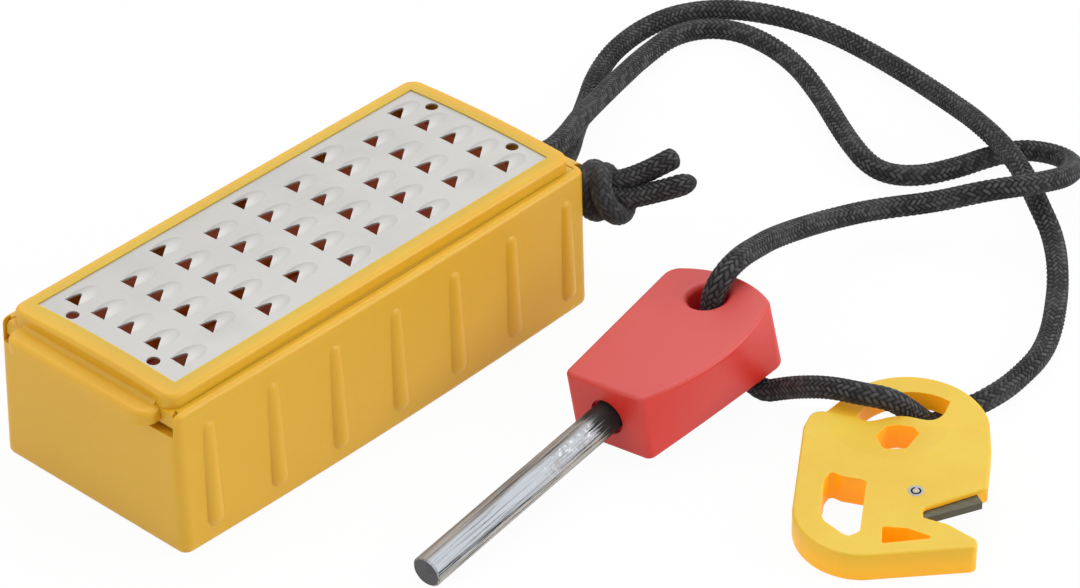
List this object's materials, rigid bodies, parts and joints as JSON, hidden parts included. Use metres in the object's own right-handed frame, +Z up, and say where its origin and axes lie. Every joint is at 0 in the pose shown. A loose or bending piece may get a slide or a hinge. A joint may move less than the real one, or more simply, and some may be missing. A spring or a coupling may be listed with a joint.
{
  "type": "tinder box",
  "caption": "Ribbed tinder box with a sliding grater lid, and a firesteel and a notched striker threaded on one knotted cord from a lug on its back.",
  "frame": {"origin": "middle of the box's foot, on the surface it stands on", "axes": "+Z up; the pull tab of the lid faces -Y and the cord lug +Y; the firesteel and striker lie on the +X side"},
  "size_m": [0.1695, 0.2239, 0.035],
  "materials": {
    "yellow_plastic": "satin",
    "sheet_steel": "satin",
    "red_plastic": "matte",
    "ferro_rod": "scraped",
    "striker_plastic": "matte",
    "blade_steel": "dark",
    "pin_steel": "satin",
    "cord": "braided"
  },
  "bodies": {
    "box": {"box_shell": "yellow_plastic", "lanyard_cord": "cord", "lanyard_knot": "cord"},
    "lid": {"lid_frame": "yellow_plastic", "grater_plate": "sheet_steel"},
    "firesteel": {"firesteel_handle": "red_plastic", "firesteel_rod": "ferro_rod"},
    "striker": {"striker_body": "striker_plastic", "striker_blade": "blade_steel", "striker_pin": "pin_steel"}
  },
  "joints": [
    {"name": "lid_slide", "type": "slide", "parent": "box", "child": "lid", "axis": [0, -1, 0], "range_m": [0, 0.1]},
    {"name": "firesteel_swivel", "type": "hinge", "parent": "box", "child": "firesteel", "pos_m": [0.0584, 0.0529, 0], "axis": [0, 0, 1], "range_deg": [-12, 8]},
    {"name": "striker_swivel", "type": "hinge", "parent": "box", "child": "striker", "pos_m": [0.0999, 0.0609, 0], "axis": [0, 0, 1], "range_deg": [-5, 12]}
  ]
}
